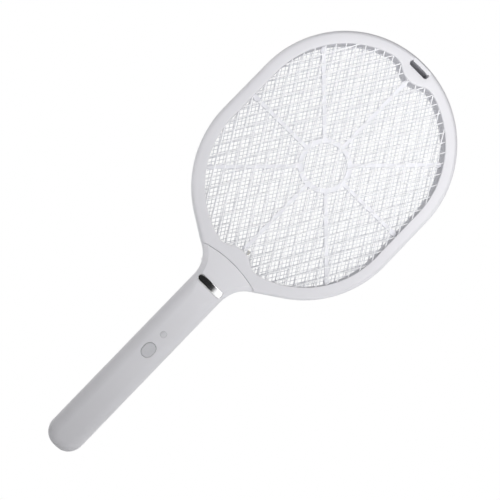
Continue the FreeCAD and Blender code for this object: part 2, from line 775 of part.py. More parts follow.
def battery_cradle():
    """Open trough behind the cell, with a wall at each end."""
    low = CELL_BOTTOM_Z - CONTACT_T - 0.7
    high = CELL_TOP_Z + CELL_TIP_H + CONTACT_T + 0.7
    rear_y = CELL_Y + CRADLE_D
    block = box(-CRADLE_HALF_W, CRADLE_HALF_W, CELL_Y, rear_y,
                low - CRADLE_WALL, high + CRADLE_WALL)
    edges = [edge for edge in block.Edges
             if abs(edge.BoundBox.YMin - rear_y) < 0.01 and edge.BoundBox.ZLength > 10]
    seat = rod(CELL_R + 0.2, V(0, CELL_Y, low), V(0, CELL_Y, high))
    slot = box(-CELL_R, CELL_R, CELL_Y - 1, CELL_Y + 3, low, high)
    return block.makeFillet(CRADLE_EDGE_R, edges).cut([seat, slot])


def battery_contacts():
    low_y = CELL_Y - CONTACT_H / 2 + 0.5
    ends = (CELL_BOTTOM_Z - CONTACT_T, CELL_TOP_Z + CELL_TIP_H)
    return Part.makeCompound([box(-CONTACT_W / 2, CONTACT_W / 2, low_y, low_y + CONTACT_H,
                                  z, z + CONTACT_T) for z in ends])


def lead(points, radius):
    """Insulated wire through the given points, with round bends."""
    edges = []
    start = points[0]
    for before, corner, after in zip(points, points[1:], points[2:]):
        incoming = (corner - before).normalize()
        outgoing = (after - corner).normalize()
        turn = incoming.getAngle(outgoing)
        run = min((corner - before).Length, (after - corner).Length)
        setback = 0.45 * run
        enter = corner - incoming * setback
        leave = corner + outgoing * setback
        bend_r = setback / math.tan(turn / 2)
        inward = (outgoing - incoming).normalize()
        bend_centre = corner + inward * (bend_r / math.cos(turn / 2))
        middle = bend_centre - inward * bend_r
        edges += [edge_through([start, enter]), edge_through([enter, middle, leave])]
        start = leave
    edges.append(edge_through([start, points[-1]]))
    path = Part.Wire(edges)
    first = (points[1] - points[0]).normalize()
    section = Part.Wire(Part.makeCircle(radius, points[0], first))
    return path.makePipeShell([section], True, False)


def battery_leads():
    """Wires from both ends of the cell to the board."""
    positive = [V(3.0, CELL_Y - 5.3, CELL_TOP_Z + 1.0), V(6.5, -6.5, CELL_TOP_Z + 4.0),
                V(7.0, -5.0, -3.0), V(7.5, -2.0, 2.5)]
    negative = [V(-6.0, -9.6, CELL_BOTTOM_Z - 1), V(-8.0, -9.4, -62), V(-8.5, -9.4, -20),
                V(-8.0, -7.0, -6.0), V(-8.0, -2.0, 2.5)]
    return Part.makeCompound([lead(positive, LEAD_R), lead(negative, LEAD_R)])


def grid_lead():
    """High-voltage wire from the board through the neck to the grid's terminal."""
    return lead([V(5.0, -1.8, 93), V(6.5, -4.0, 104), V(6.0, -3.0, 118), V(5.4, -1.0, 129),
                 V(GRID_LEAD_X, GRID_LEAD_Y, 139),
                 V(GRID_LEAD_X, GRID_LEAD_Y, TERMINAL_LOW_Z)], LEAD_R)


def grille_lead():
    """Return wire from the board to the clip that joins the two grilles."""
    return lead([V(-6.0, -1.8, 93), V(-7.5, -4.2, 104), V(-10.0, -3.6, 118),
                 V(-11.6, -1.4, 129), V(-12.0, -0.6, 138.4)], LEAD_R)


def grid_terminal():
    """Small plate soldered to the back of the grid's lower edge."""
    return box(GRID_LEAD_X - 1.6, GRID_LEAD_X + 1.6, GRID_WIRE, GRID_WIRE + 0.5,
               TERMINAL_LOW_Z, TERMINAL_LOW_Z + 4.0)


def grille_clip():
    """Spring strip that touches both grilles outside the spacer ring."""
    near, _ = grille_layer()
    return box(-14.0, -10.0, -near, near, 139.5, 140.1)


def frame_screws():
    return Part.makeCompound([screw(x, z, HEAD_HALF - PLATE) for x, z in frame_screw_places()])


def handle_screws():
    return Part.makeCompound([screw(x, z, handle_depth(z)) for x, z in HANDLE_SCREWS])


def main():
    os.makedirs("parts", exist_ok=True)
    holes = grille_holes()
    makers = [
        handle_front_shell, handle_rear_shell, head_frame_front, head_frame_rear,
        spacer_ring, badge_plate, status_lens, push_button, tact_switch_body,
        switch_plunger, slide_switch_body, slide_switch_knob, circuit_board,
        transformer_core, transformer_winding, storage_capacitor, multiplier_capacitors,
        rectifier_diodes, resistors, drive_transistor, status_led, charge_controller_chip,
        charge_socket, charge_socket_tongue, socket_board, battery_cell, battery_cradle,
        battery_contacts, battery_leads, grid_lead, grille_lead, grid_terminal,
        grille_clip, handle_screws, frame_screws]
    nodes = {maker.__name__: maker() for maker in makers}
    nodes["front_grille"] = grille(FRONT, holes)
    nodes["rear_grille"] = grille(REAR, holes)
    nodes["spider_front"] = spider(FRONT)
    nodes["spider_rear"] = spider(REAR)
    nodes["inner_grid"] = grid_wires()
    for name, shape in nodes.items():
        shape.exportStep("parts/" + name + ".step")
        limits = shape.BoundBox
        print(name, len(shape.Solids), shape.isValid(), round(shape.Volume, 1),
              [round(value, 1) for value in (limits.XMin, limits.XMax, limits.YMin,
                                             limits.YMax, limits.ZMin, limits.ZMax)])


main()
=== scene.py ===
import json
import math

import bmesh
import bpy
import numpy as np
from mathutils import Matrix, Vector


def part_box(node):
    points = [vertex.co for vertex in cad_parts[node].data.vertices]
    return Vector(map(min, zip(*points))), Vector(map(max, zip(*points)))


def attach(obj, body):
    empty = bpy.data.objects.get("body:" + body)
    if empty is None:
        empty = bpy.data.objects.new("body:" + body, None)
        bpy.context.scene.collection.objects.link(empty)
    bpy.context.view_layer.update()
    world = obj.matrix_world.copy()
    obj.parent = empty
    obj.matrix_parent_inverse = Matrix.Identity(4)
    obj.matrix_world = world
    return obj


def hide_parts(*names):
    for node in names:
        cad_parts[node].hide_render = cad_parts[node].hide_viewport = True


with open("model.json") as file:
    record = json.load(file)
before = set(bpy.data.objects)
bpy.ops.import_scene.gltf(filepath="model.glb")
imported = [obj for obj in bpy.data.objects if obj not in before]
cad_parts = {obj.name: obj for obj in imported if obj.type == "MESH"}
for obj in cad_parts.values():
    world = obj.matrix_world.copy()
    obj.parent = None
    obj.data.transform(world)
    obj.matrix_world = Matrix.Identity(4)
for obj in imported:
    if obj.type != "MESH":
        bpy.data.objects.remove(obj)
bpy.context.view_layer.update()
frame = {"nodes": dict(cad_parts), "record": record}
nodes = frame["nodes"]

MM = 0.001

# The head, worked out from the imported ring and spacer
ring_low, ring_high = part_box("head_frame_front")
spacer_low, spacer_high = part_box("spacer_ring")
HEAD_R = ring_high.x
HEAD_HALF = -ring_low.y
SPACER_T = 2.5 * MM
OPENING_R = spacer_high.x - SPACER_T
HIGH_CENTRE_Z = ring_high.z - HEAD_R
LOW_CENTRE_Z = 236.0 * MM
SPIDER_Z = (HIGH_CENTRE_Z + LOW_CENTRE_Z) / 2
PLATE = 2.2 * MM
BUMP_REACH = 84.3 * MM
BUMP_R = 22.0 * MM
BUMP_SIDE_R = 16.0 * MM

# The handle and the neck
handle_low, handle_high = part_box("handle_front_shell")
HANDLE_HALF_W = 18.2 * MM
HANDLE_HALF_D = -handle_low.y
NECK_ANGLE = 57.0
NECK_R = 28.4 * MM
BUTT_Z = handle_low.z
BUTT_CORNER_R = 16.0 * MM
BUTT_END_R = 42.0 * MM
SEAM_TOP_Z = handle_high.z      # seam between handle and ring, on the axis
SEAM_R = 114.0 * MM
SEAM_GAP = 0.04 * MM
NECK_LOW_Z = 110.0 * MM          # foot of the neck's sloping face, above the badge
EDGE_W = 11.5 * MM               # rounding of the handle's edges, across and in depth
EDGE_D = 12.5 * MM
EDGE_W_SEAM = 5.0 * MM           # the same beside the seam
EDGE_D_SEAM = 5.2 * MM
HANDLE_SCREWS = [(0, -86.0 * MM), (0, -4.5 * MM), (-19.5 * MM, 121.5 * MM),
                 (19.5 * MM, 121.5 * MM)]
FRAME_SCREW_R = 101.0 * MM
SOCKET_W = 9.2 * MM
SOCKET_H = 3.4 * MM
HANDLE_CROWN = 0.35 * MM         # swell of the handle's flat faces

# Hang slot, badge, lens, button and switch
SLOT_Z = 392.5 * MM
SLOT_W = 23.0 * MM
SLOT_H = 6.4 * MM
BADGE_Z = 106.6 * MM
BADGE_W = 29.6 * MM
BADGE_H = 7.4 * MM
BADGE_BOW = 0.5 * MM
BADGE_PROUD = 0.55 * MM
BADGE_EDGE_R = 0.7 * MM
LENS_Z = 44.4 * MM
LENS_R = 3.2 * MM
BUTTON_Z = 24.6 * MM
BUTTON_W = 11.4 * MM
BUTTON_H = 15.0 * MM
BUTTON_PROUD = 0.9 * MM
KNOB_Z = 60.0 * MM
KNOB_W = 7.0 * MM
KNOB_H = 9.0 * MM
KNOB_TRAVEL = 4.0 * MM
SCREW_HEAD_R = 2.7 * MM
SCREW_HEAD_FLOOR = 3.8 * MM      # depth of the ring's screw holes, from its middle plane

# Wires
DIAMOND_W = 10.7 * MM
DIAMOND_H = 18.5 * MM
GRILLE_WIRE_R = 0.55 * MM
GRILLE_LAYER = 0.28 * MM         # from the grille's middle plane to each of its two layers
GRID_WIRE_R = 0.30 * MM
GRID_PITCH = 3.5 * MM
GRID_ANGLE = 33.5

# Walls, lips and the fineness of the outlines
RING_WALL = 1.6 * MM
RING_EDGE_R = 4.5 * MM
HANDLE_WALL = 1.8 * MM
OPENING_LIP = 0.5 * MM
PARTING_LIP = [(0.4 * MM, 0.06 * MM), (0.12 * MM, 0.14 * MM), (0, 0.4 * MM)]
RING_POINTS = 300
SEAM_POINTS = 30
HANDLE_POINTS = 260
CAP_POINTS = 96
SHARP_ANGLE = math.radians(35)
HANDLE_SHARP_ANGLE = math.radians(32)
CUT_LOW = 5 * MM                 # reach in Y of the cutters behind the handle
CUT_HIGH = 25 * MM


# ---------------------------------------------------------------- materials

def new_material(name):
    material = bpy.data.materials.new(name)
    material.use_nodes = True
    tree = material.node_tree
    return material, tree, tree.nodes["Principled BSDF"]


def add_node(tree, kind, **inputs):
    node = tree.nodes.new(kind)
    for key, value in inputs.items():
        node.inputs[key.replace("_", " ")].default_value = value
    return node


def object_position(tree):
    return tree.nodes.new("ShaderNodeTexCoord").outputs["Object"]


def colour_ramp(tree, factor, low, high):
    """Mix of two colours by a factor; low and high are RGB."""
    mix = tree.nodes.new("ShaderNodeMix")
    mix.data_type = "RGBA"
    tree.links.new(factor, mix.inputs["Factor"])
    mix.inputs[6].default_value = (*low, 1)
    mix.inputs[7].default_value = (*high, 1)
    return mix.outputs[2]


def shifted(colour, amount):
    return tuple(min(1.0, max(0.0, channel * amount)) for channel in colour)


def moulded_plastic(name, colour, roughness, grain=0.04, grain_scale=2600.0, spread=0.03,
                    coat=0.0):
    """Satin moulded plastic: faint cloudy colour, spark-eroded grain, uneven gloss."""
    material, tree, shader = new_material(name)
    place = object_position(tree)
    cloud = add_node(tree, "ShaderNodeTexNoise", Scale=22.0, Detail=3.0)
    tree.links.new(place, cloud.inputs["Vector"])
    tint = colour_ramp(tree, cloud.outputs["Fac"], shifted(colour, 1 - spread),
                       shifted(colour, 1 + spread))
    tree.links.new(tint, shader.inputs["Base Color"])
    wear = add_node(tree, "ShaderNodeTexNoise", Scale=130.0, Detail=4.0)
    tree.links.new(place, wear.inputs["Vector"])
    gloss = tree.nodes.new("ShaderNodeMapRange")
    gloss.inputs["To Min"].default_value = roughness - 0.05
    gloss.inputs["To Max"].default_value = roughness + 0.07
    tree.links.new(wear.outputs["Fac"], gloss.inputs["Value"])
    tree.links.new(gloss.outputs["Result"], shader.inputs["Roughness"])
    texture = add_node(tree, "ShaderNodeTexNoise", Scale=grain_scale, Detail=2.0)
    tree.links.new(place, texture.inputs["Vector"])
    bump = add_node(tree, "ShaderNodeBump", Strength=grain, Distance=0.0002)
    tree.links.new(texture.outputs["Fac"], bump.inputs["Height"])
    tree.links.new(bump.outputs["Normal"], shader.inputs["Normal"])
    shader.inputs["Coat Weight"].default_value = coat
    return material


def metal(name, colour, roughness, streak_scale=(40.0, 40.0, 900.0), spread=0.06,
          metallic=1.0):
    """Drawn, plated or painted metal with fine streaks in colour, gloss and height."""
    material, tree, shader = new_material(name)
    shader.inputs["Metallic"].default_value = metallic
    mapping = tree.nodes.new("ShaderNodeMapping")
    mapping.inputs["Scale"].default_value = streak_scale
    tree.links.new(object_position(tree), mapping.inputs["Vector"])
    streaks = add_node(tree, "ShaderNodeTexNoise", Scale=1.0, Detail=3.0)
    tree.links.new(mapping.outputs["Vector"], streaks.inputs["Vector"])
    tint = colour_ramp(tree, streaks.outputs["Fac"], shifted(colour, 1 - spread),
                       shifted(colour, 1 + spread))
    tree.links.new(tint, shader.inputs["Base Color"])
    gloss = tree.nodes.new("ShaderNodeMapRange")
    gloss.inputs["To Min"].default_value = max(0.02, roughness - 0.06)
    gloss.inputs["To Max"].default_value = roughness + 0.06
    tree.links.new(streaks.outputs["Fac"], gloss.inputs["Value"])
    tree.links.new(gloss.outputs["Result"], shader.inputs["Roughness"])
    bump = add_node(tree, "ShaderNodeBump", Strength=0.05, Distance=0.0001)
    tree.links.new(streaks.outputs["Fac"], bump.inputs["Height"])
    tree.links.new(bump.outputs["Normal"], shader.inputs["Normal"])
    return material


def node_materials():
    """One material for each slot of the record."""
    return {
        "shell_plastic": moulded_plastic("shell_plastic", (0.730, 0.726, 0.758), 0.42),
        "frame_plastic": moulded_plastic("frame_plastic", (0.700, 0.696, 0.728), 0.42),
        "badge_chrome": metal("badge_chrome", (0.86, 0.86, 0.87), 0.06, (60, 60, 60), 0.01),
        "grille_wire": metal("grille_wire", (0.95, 0.95, 0.97), 0.35, (300, 300, 300), 0.02,
                             0.1),
        "grid_wire": metal("grid_wire", (0.70, 0.71, 0.75), 0.38, (300, 300, 300), 0.05, 0.2),
        "spider_plastic": moulded_plastic("spider_plastic", (0.90, 0.90, 0.94), 0.5),
        # spacer ring's plastic is darker than the frame's: painted shade for the shaded gap
        # inside the ring's opening
        "spacer_plastic": moulded_plastic("spacer_plastic", (0.55, 0.55, 0.58), 0.55),
        "lens_plastic": moulded_plastic("lens_plastic", (0.66, 0.66, 0.69), 0.22, coat=0.4),
        "button_rubber": moulded_plastic("button_rubber", (0.60, 0.60, 0.63), 0.62, 0.12),
        "knob_plastic": moulded_plastic("knob_plastic", (0.30, 0.30, 0.32), 0.5, 0.1),
        "board_green": moulded_plastic("board_green", (0.012, 0.09, 0.035), 0.3, coat=0.5),
        "black_plastic": moulded_plastic("black_plastic", (0.012, 0.012, 0.013), 0.45),
        "ferrite": moulded_plastic("ferrite", (0.03, 0.03, 0.033), 0.7, 0.3, 900.0, 0.15),
        "copper": metal("copper", (0.72, 0.30, 0.13), 0.35, (900, 900, 4000)),
        "capacitor_red": moulded_plastic("capacitor_red", (0.28, 0.03, 0.015), 0.3, coat=0.5),
        "ceramic_blue": moulded_plastic("ceramic_blue", (0.02, 0.07, 0.30), 0.3, coat=0.5),
        "resistor_tan": moulded_plastic("resistor_tan", (0.50, 0.36, 0.16), 0.35, coat=0.4),
        "led_clear": moulded_plastic("led_clear", (0.55, 0.72, 0.60), 0.12, coat=0.6),
        "nickel": metal("nickel", (0.66, 0.64, 0.60), 0.3, (300, 300, 300)),
        "cell_wrap": moulded_plastic("cell_wrap", (0.025, 0.10, 0.32), 0.3, coat=0.5),
        "cradle_plastic": moulded_plastic("cradle_plastic", (0.02, 0.02, 0.022), 0.55),
        "wire_red": moulded_plastic("wire_red", (0.38, 0.01, 0.008), 0.4),
        "wire_white": moulded_plastic("wire_white", (0.70, 0.70, 0.68), 0.45),
        "screw_steel": metal("screw_steel", (0.55, 0.55, 0.57), 0.3, (500, 500, 500))}


materials = node_materials()


def dress_cad_nodes():
    for part in frame["record"]["subparts"]:
        obj = nodes[part["node"]]
        for slot in obj.material_slots:
            slot.material = materials[part["material_slot"]]


dress_cad_nodes()


# ---------------------------------------------------------------- outlines

def arc(centre, radius, start, end, step=1.2 * MM):
    """Points on an arc in the XZ plane, angles in degrees from +X towards +Z."""
    count = max(6, int(abs(radius * math.radians(end - start)) / step) + 1)
    angles = np.radians(np.linspace(start, end, count))
    return np.asarray(centre) + radius * np.stack([np.cos(angles), np.sin(angles)], axis=1)


def line(start, end, step=1.2 * MM):
    start, end = np.asarray(start), np.asarray(end)
    count = max(2, int(np.linalg.norm(end - start) / step) + 1)
    return start + np.linspace(0, 1, count)[:, None] * (end - start)


def joined(*runs):
    """One path out of runs that start where the one before ends."""
    return np.concatenate([runs[0]] + [run[1:] for run in runs[1:]])


def mirrored(half):
    """Closed outline out of its right half, which starts and ends on the axis."""
    return np.concatenate([half, (half[::-1] * (-1, 1))[1:-1]])


def resampled(path, count):
    """The same path with evenly spaced points."""
    steps = np.linalg.norm(np.diff(path, axis=0), axis=1)
    travelled = np.concatenate([[0], np.cumsum(steps)])
    wanted = np.linspace(0, travelled[-1], count)
    return np.stack([np.interp(wanted, travelled, path[:, axis]) for axis in (0, 1)], axis=1)


def pill(width, height, z):
    """Closed outline of a slot with round ends."""
    radius = min(width, height) / 2
    run_x = width / 2 - radius
    run_z = height / 2 - radius
    if run_z > run_x:
        return mirrored(np.concatenate([arc((0, z - run_z), radius, -90, 0, 0.4 * MM),
                                        arc((0, z + run_z), radius, 0, 90, 0.4 * MM)]))
    return mirrored(np.concatenate([[(0, z - radius)],
                                    arc((run_x, z), radius, -90, 90, 0.4 * MM),
                                    [(0, z + radius)]]))


def circle(x, z, radius):
    return arc((x, z), radius, 0, 360, 0.5 * MM)[:-1]


def bump_quarter(outset):
    """Quarter of the opening's end, from its side to the tip of the inward bump."""
    radius = OPENING_R + outset
    side_r = BUMP_SIDE_R + outset
    bump_r = BUMP_R - outset
    bump_z = BUMP_REACH + BUMP_R
    side_reach = radius - side_r
    side_z = (side_reach ** 2 - (bump_r + side_r) ** 2 + bump_z ** 2) / (2 * bump_z)
    side_x = math.sqrt(side_reach ** 2 - side_z ** 2)
    leave = math.degrees(math.atan2(side_z, side_x))
    meet = math.degrees(math.atan2(bump_z - side_z, -side_x))
    return joined(arc((0, 0), radius, 0, leave),
                  arc((side_x, side_z), side_r, leave, meet),
                  arc((0, bump_z), bump_r, meet - 180, -90))


def opening(outset):
    """Closed outline of the head's opening, moved outwards by outset."""
    quarter = bump_quarter(outset)
    top = quarter + (0, HIGH_CENTRE_Z)
    bottom = quarter[::-1] * (1, -1) + (0, LOW_CENTRE_Z)
    side = line(bottom[-1], top[0])
    return mirrored(joined(bottom, side, top))


def body_half():
    """Right half of the swatter's front view, from the butt's end to the head's top."""
    corner_x = HANDLE_HALF_W - BUTT_CORNER_R
    end_centre = (0, BUTT_Z + BUTT_END_R)
    drop = math.sqrt((BUTT_END_R - BUTT_CORNER_R) ** 2 - corner_x ** 2)
    corner = (corner_x, end_centre[1] - drop)
    touch = math.degrees(math.atan2(-drop, corner_x))
    outward = np.array([math.cos(math.radians(NECK_ANGLE)), -math.sin(math.radians(NECK_ANGLE))])
    fillet_x = HANDLE_HALF_W + NECK_R
    reach = outward[1] * LOW_CENTRE_Z + HEAD_R + NECK_R
    fillet = np.array([fillet_x, (reach - outward[0] * fillet_x) / outward[1]])
    return joined(
        arc(end_centre, BUTT_END_R, -90, touch, 0.5 * MM),
        arc(corner, BUTT_CORNER_R, touch, 0, 0.5 * MM),
        line((HANDLE_HALF_W, corner[1]), (HANDLE_HALF_W, fillet[1])),
        arc(fillet, NECK_R, 180, 180 - NECK_ANGLE, 0.8 * MM),
        line(fillet - outward * NECK_R, (0, LOW_CENTRE_Z) + outward * HEAD_R),
        arc((0, LOW_CENTRE_Z), HEAD_R, -NECK_ANGLE, 0),
        line((HEAD_R, LOW_CENTRE_Z), (HEAD_R, HIGH_CENTRE_Z)),
        arc((0, HIGH_CENTRE_Z), HEAD_R, 0, 90))


def inward_normals(path):
    """Unit normals to the left of a path that runs up the right side."""
    along = np.gradient(path, axis=0)
    normals = np.stack([-along[:, 1], along[:, 0]], axis=1)
    normals[0] = (0, 1)
    normals[-1] = (0, -1)
    return normals / np.linalg.norm(normals, axis=1)[:, None]


def seam_z(x, radius=SEAM_R):
    """Height of the curved seam between handle and ring."""
    return SEAM_TOP_Z - SEAM_R + np.sqrt(radius ** 2 - x ** 2)


def cut_at_seam(path, radius, keep_below):
    """Part of a path on one side of the seam's circle, ending exactly on it."""
    beyond = np.hypot(path[:, 0], path[:, 1] - SEAM_TOP_Z + SEAM_R) - radius
    high = path[:, 1] > SEAM_TOP_Z - 40 * MM
    first = int(np.argmax((beyond > 0) & high))
    share = -beyond[first - 1] / (beyond[first] - beyond[first - 1])
    crossing = path[first - 1] + share * (path[first] - path[first - 1])
    if keep_below:
        return np.concatenate([path[:first], [crossing]])
    return np.concatenate([[crossing], path[first:]])


def inside(polygon, points):
    """Which of the points lie in a closed polygon, by crossing number."""
    x, z = points[:, 0], points[:, 1]
    result = np.zeros(len(points), bool)
    previous = polygon[-1]
    for corner in polygon:
        crosses = (corner[1] > z) != (previous[1] > z)
        with np.errstate(divide="ignore", invalid="ignore"):
            where = ((previous[0] - corner[0]) * (z - corner[1])
                     / (previous[1] - corner[1]) + corner[0])
        result ^= crosses & (x < where)
        previous = corner
    return result


# ---------------------------------------------------------------- mesh helpers

def finish_mesh(mesh, name, material, smooth=True, side=0):
    """Object out of a mesh; an open shell's faces are turned to the side it is seen from."""
    bmesh.ops.recalc_face_normals(mesh, faces=mesh.faces)
    if side * sum(face.normal.y * face.calc_area() for face in mesh.faces) < 0:
        bmesh.ops.reverse_faces(mesh, faces=mesh.faces)
    data = bpy.data.meshes.new(name)
    mesh.to_mesh(data)
    mesh.free()
    data.materials.append(material)
    if smooth:
        data.shade_smooth()
        data.set_sharp_from_angle(angle=SHARP_ANGLE)
    obj = bpy.data.objects.new(name, data)
    bpy.context.collection.objects.link(obj)
    return obj


def declare(obj, body, slot, *replaced):
    """Tell the frame what a piece rides on and the nodes it replaces; the slot argument is not
    used.
    """
    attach(obj, body)
    if replaced:
        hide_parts(*replaced)


def add_loop(mesh, outline, y):
    """Vertices of an outline at one depth."""
    return [mesh.verts.new((x, y, z)) for x, z in outline]


def bridge(mesh, first, second, closed=True):
    """Quads between two rows with the same number of vertices."""
    count = len(first)
    for index in range(count if closed else count - 1):
        after = (index + 1) % count
        mesh.faces.new((first[index], first[after], second[after], second[index]))


def fill_between(mesh, *loops):
    """Flat face inside the first loop, with the other loops as holes."""
    edges = []
    for loop in loops:
        for index, vert in enumerate(loop):
            after = loop[(index + 1) % len(loop)]
            edges.append(mesh.edges.get((vert, after)) or mesh.edges.new((vert, after)))
    bmesh.ops.triangle_fill(mesh, edges=edges, use_beauty=True, use_dissolve=False)


def prism(name, outline, y_low, y_high):
    """Closed solid of an outline between two Y values, for cutting."""
    mesh = bmesh.new()
    low, high = add_loop(mesh, outline, y_low), add_loop(mesh, outline, y_high)
    bridge(mesh, low, high)
    mesh.faces.new(low)
    mesh.faces.new(high[::-1])
    return finish_mesh(mesh, name, materials["black_plastic"], smooth=False)


def cut_away(obj, cutters):
    """Boolean difference, applied; the cutters are deleted."""
    for cutter in cutters:
        modifier = obj.modifiers.new("cut", "BOOLEAN")
        modifier.operation = "DIFFERENCE"
        modifier.solver = "EXACT"
        modifier.object = cutter
    apply_modifiers(obj)
    for cutter in cutters:
        bpy.data.meshes.remove(cutter.data)


def apply_modifiers(obj):
    """Put the result of an object's modifiers in its mesh."""
    bpy.context.view_layer.update()
    evaluated = obj.evaluated_get(bpy.context.evaluated_depsgraph_get())
    applied = bpy.data.meshes.new_from_object(evaluated)
    obj.modifiers.clear()
    obj.data = applied


def hollow_out(obj, wall):
    """Give an open skin a wall on its inside."""
    shell = obj.modifiers.new("wall", "SOLIDIFY")
    shell.thickness = wall
    shell.offset = -1
    apply_modifiers(obj)


# ---------------------------------------------------------------- ring halves

def screw_places():
    """x, z of the ring's six screws."""
    places = []
    for angle, centre_z in ((38.0, HIGH_CENTRE_Z), (90.0, SPIDER_Z), (128.0, LOW_CENTRE_Z)):
        x = FRAME_SCREW_R * math.sin(math.radians(angle))
        z = centre_z + FRAME_SCREW_R * math.cos(math.radians(angle))
        places += [(x, z), (-x, z)]
    return places


def ring_outline(inset):
    """Closed outline of the ring's outside, ending along the seam."""
    path = body_half()
    path = path + inward_normals(path) * inset
    radius = SEAM_R + SEAM_GAP / 2 + inset * 0.2
    upper = cut_at_seam(path, radius, keep_below=False)
    upper = resampled(upper, RING_POINTS)
    seam_x = np.linspace(0, upper[0, 0], SEAM_POINTS)[:-1]
    seam = np.stack([seam_x, seam_z(seam_x, radius)], axis=1)
    upper[-1, 0] = 0
    return mirrored(np.concatenate([seam, upper]))


def slot_outline(outset):
    return pill(SLOT_W + 2 * outset, SLOT_H + 2 * outset, SLOT_Z)


def screw_outline(x, z):
    def shape(outset):
        return circle(x, z, SCREW_HEAD_R + outset)
    return shape


def resampled_loop(outline):
    """Closed outline with a count of points that doesn't hang on its exact size."""
    closed = np.concatenate([outline, outline[:1]])
    length = np.linalg.norm(np.diff(closed, axis=0), axis=1).sum()
    count = 40 if length < 30 * MM else 90 if length < 100 * MM else 760
    return resampled(closed, count + 1)[:-1]


def ring_side(mesh, side):
    """Outer wall of a ring half with its rounded edge; returns the plate's border."""
    profile = PARTING_LIP + [(0, HEAD_HALF - RING_EDGE_R)]
    for turn in np.radians(np.linspace(0, 90, 9))[1:]:
        profile.append((RING_EDGE_R * (1 - math.cos(turn)),
                        HEAD_HALF - RING_EDGE_R * (1 - math.sin(turn))))
    rows = [add_loop(mesh, ring_outline(inset), side * depth) for inset, depth in profile]
    for first, second in zip(rows, rows[1:]):
        bridge(mesh, first, second)
    return rows[-1]


def sunk_opening(mesh, side, shape, floor):
    """Wall of an opening with a soft lip; returns the lip's border."""
    lip = OPENING_LIP
    steps = [(lip, 0), (lip * 0.62, lip * 0.08), (lip * 0.29, lip * 0.29),
             (lip * 0.08, lip * 0.62), (0, lip), (0, HEAD_HALF - floor)]
    loops = [resampled_loop(shape(outset)) for outset, _ in steps]
    loops = [add_loop(mesh, loop, side * (HEAD_HALF - drop))
             for loop, (_, drop) in zip(loops, steps)]
    for first, second in zip(loops, loops[1:]):
        bridge(mesh, first, second)
    return loops[0]


def ring_half(name, side, screws):
    """Moulded half ring: rounded outside, flat plate, soft lips at every opening."""
    mesh = bmesh.new()
    borders = [ring_side(mesh, side),
               sunk_opening(mesh, side, opening, HEAD_HALF - PLATE),
               sunk_opening(mesh, side, slot_outline, 0)]
    borders += [sunk_opening(mesh, side, screw_outline(x, z), SCREW_HEAD_FLOOR)
                for x, z in screws]
    fill_between(mesh, *borders)
    obj = finish_mesh(mesh, name, materials["frame_plastic"], side=side)
    hollow_out(obj, RING_WALL)
    obj.data.set_sharp_from_angle(angle=SHARP_ANGLE)
    return obj


def ring_pieces():
    front = ring_half("front_ring", -1, [])
    # The screw holes at the ring's sides cross the plate's border, so this fill is not whole
    rear = ring_half("rear_ring", 1, screw_places())
    declare(front, "root", "frame_plastic", "head_frame_front")
    declare(rear, "root", "frame_plastic", "head_frame_rear")


# ---------------------------------------------------------------- handle shells

def blend(value, low, high):
    """Smooth step from 0 at low to 1 at high."""
    share = np.clip((value - low) / (high - low), 0, 1)
    return share * share * (3 - 2 * share)


def handle_top(x, z):
    """Depth of the flat top of the handle, which slopes down over the neck."""
    slope = np.clip((z - NECK_LOW_Z) / (seam_z(x) - NECK_LOW_Z), 0, 1)
    crown = HANDLE_CROWN * (1 - np.clip(np.abs(x) / HANDLE_HALF_W, 0, 1) ** 2)
    level = HANDLE_HALF_D + (HEAD_HALF - HANDLE_HALF_D) * slope
    return level + crown * (1 - slope) - HANDLE_CROWN


def handle_row(path, share, radius):
    """Path at a share of the edge's width inside the outline, ended at the seam."""
    width = EDGE_W + (EDGE_W_SEAM - EDGE_W) * blend(path[:, 1], NECK_LOW_Z - 20 * MM,
                                                     NECK_LOW_Z - 2 * MM)
    moved = path + inward_normals(path) * (width * share)[:, None]
    return resampled(cut_at_seam(moved, radius, keep_below=True), HANDLE_POINTS)


def handle_edge_depth(row, share):
    """Depth of the rounded edge of the handle, or of the neck's side facet."""
    top = handle_top(row[:, 0], row[:, 1])
    neck = blend(row[:, 1], NECK_LOW_Z - 10 * MM, NECK_LOW_Z + 4 * MM)
    drop = EDGE_D + (EDGE_D_SEAM - EDGE_D) * neck
    arc_fall = 1 - math.sqrt(max(0.0, 1 - (1 - share) ** 2))
    facet_fall = 0.72 * (1 - share) + 0.28 * arc_fall
    return top - drop * (arc_fall * (1 - neck) + facet_fall * neck)


def handle_columns():
    """Rows of the handle's right half from its parting lip to the axis, with their depths."""
    base = body_half()
    end_r = SEAM_R - SEAM_GAP / 2
    columns = []
    for inset, depth in PARTING_LIP:
        moved = base + inward_normals(base) * inset
        row = resampled(cut_at_seam(moved, end_r, keep_below=True), HANDLE_POINTS)
        columns.append((row, np.full(len(row), depth)))
    for share in np.sin(np.radians(np.linspace(0, 90, 13))) ** 1.4:
        row = handle_row(base, share, end_r)
        columns.append((row, handle_edge_depth(row, share)))
    inner = columns[-1][0]
    follow = blend(inner[:, 1], NECK_LOW_Z - 6 * MM, SEAM_TOP_Z - 6 * MM)
    for step in np.linspace(1, 0, 9)[1:]:
        x = inner[:, 0] * step
        z = inner[:, 1] + follow * (seam_z(x, end_r) - seam_z(inner[:, 0], end_r))
        columns.append((np.stack([x, z], axis=1), handle_top(x, z)))
    return columns


def handle_half(name, side):
    """Moulded half of the handle, from the butt to the seam with the ring."""
    mesh = bmesh.new()
    columns = handle_columns()
    for mirror in (1, -1):
        grid = [[mesh.verts.new((mirror * x, side * y, z)) for (x, z), y in zip(row, depth)]
                for row, depth in columns]
        for first, second in zip(grid, grid[1:]):
            bridge(mesh, first, second, closed=False)
    bmesh.ops.remove_doubles(mesh, verts=mesh.verts, dist=0.01 * MM)
    obj = finish_mesh(mesh, name, materials["shell_plastic"], side=side)
    hollow_out(obj, HANDLE_WALL)
    return obj


